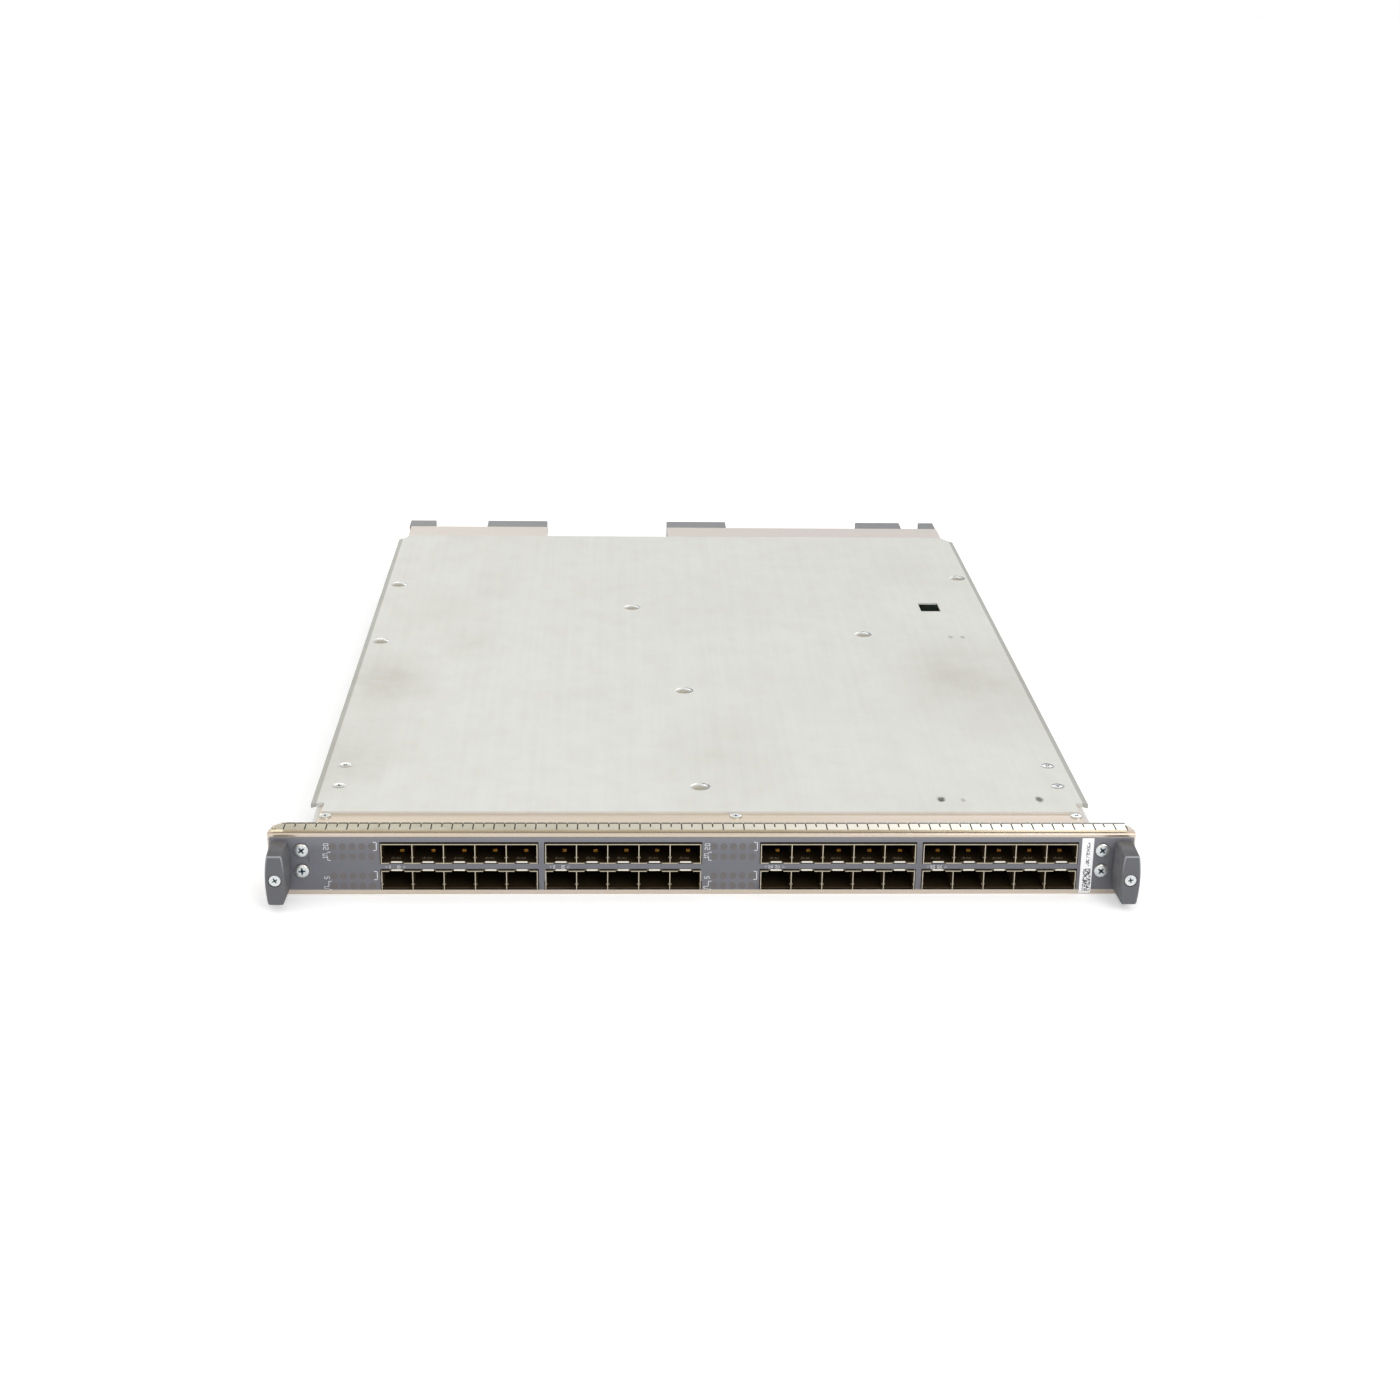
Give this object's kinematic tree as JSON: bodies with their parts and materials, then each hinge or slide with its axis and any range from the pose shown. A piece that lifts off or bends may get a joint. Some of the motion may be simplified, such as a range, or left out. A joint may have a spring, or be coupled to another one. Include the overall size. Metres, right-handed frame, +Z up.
{
  "type": "switch line card",
  "caption": "Chassis line card: sheet-metal pan over a circuit board, front panel with two rows of ganged pluggable ports, spring contact strip, ejector knobs and rear connectors.",
  "frame": {"origin": "middle of the card in plan, on the surface it rests on", "axes": "+X to the right along the front panel, +Y from the front panel to the rear connectors, +Z up through the carrier pan"},
  "size_m": [0.397, 0.5594, 0.0327],
  "materials": {
    "board_green": "green solder-resist board",
    "cage_metal": "tinned cage sheet",
    "chip_black": "moulded chip packages",
    "connector_black": "black moulded contact blocks",
    "connector_grey": "dark grey backplane connectors",
    "finger_metal": "springy tinned copper alloy",
    "galvanised": "bright galvanised sheet steel with faint smudges",
    "guide_clear": "clear moulded light guides",
    "knob_plastic": "moulded dark grey plastic",
    "label_paper": "white paper label",
    "nickel_sheet": "warm nickel-coloured passivated sheet",
    "overlay_grey": "satin grey-blue printed film",
    "sink_aluminium": "extruded aluminium",
    "zinc_screw": "bright zinc-plated screws"
  },
  "bodies": {
    "card": {"bar_label": "label_paper", "board_screws": "zinc_screw", "board_standoffs": "zinc_screw", "bracket_screws": "zinc_screw", "carrier_pan": "galvanised", "control_sink": "sink_aluminium", "ejector_bracket_left": "nickel_sheet", "ejector_bracket_right": "nickel_sheet", "fabric_sink_1": "sink_aluminium", "fabric_sink_2": "sink_aluminium", "filter_capacitors": "chip_black", "finger_strip": "finger_metal", "flange_nuts": "zinc_screw", "flange_screws": "zinc_screw", "front_overlay": "overlay_grey", "front_panel": "nickel_sheet", "guide_connector_left": "connector_grey", "guide_connector_right": "connector_grey", "light_guides_left": "guide_clear", "light_guides_middle": "guide_clear", "lower_cage_1": "cage_metal", "lower_cage_2": "cage_metal", "lower_cage_3": "cage_metal", "lower_cage_4": "cage_metal", "main_board": "board_green", "memory_chips": "chip_black", "memory_module_1": "board_green", "memory_module_2": "board_green", "memory_socket_1": "connector_black", "memory_socket_2": "connector_black", "pan_rivets": "zinc_screw", "port_connectors_lower": "connector_black", "port_connectors_upper": "connector_black", "port_sink_1": "sink_aluminium", "port_sink_2": "sink_aluminium", "port_sink_3": "sink_aluminium", "port_sink_4": "sink_aluminium", "power_brick_1": "chip_black", "power_brick_2": "chip_black", "power_connector": "connector_grey", "power_inductors": "chip_black", "rear_ledge_left": "nickel_sheet", "rear_ledge_right": "nickel_sheet", "side_rail_left": "galvanised", "side_rail_right": "galvanised", "signal_connector_1": "connector_grey", "signal_connector_2": "connector_grey", "sink_chips": "chip_black", "upper_cage_1": "cage_metal", "upper_cage_2": "cage_metal", "upper_cage_3": "cage_metal", "upper_cage_4": "cage_metal"},
    "ejector_left": {"ejector_knob_left": "knob_plastic", "knob_screw_left": "zinc_screw", "jackscrew_left": "zinc_screw"},
    "ejector_right": {"ejector_knob_right": "knob_plastic", "knob_screw_right": "zinc_screw", "jackscrew_right": "zinc_screw"}
  },
  "joints": [
    {"name": "ejector_left_turn", "type": "hinge", "parent": "card", "child": "ejector_left", "pos_m": [-0.19298, -0.2598, 0.0156], "axis": [0, 1, 0], "continuous": true},
    {"name": "ejector_right_turn", "type": "hinge", "parent": "card", "child": "ejector_right", "pos_m": [0.19298, -0.2598, 0.0156], "axis": [0, 1, 0], "continuous": true}
  ]
}
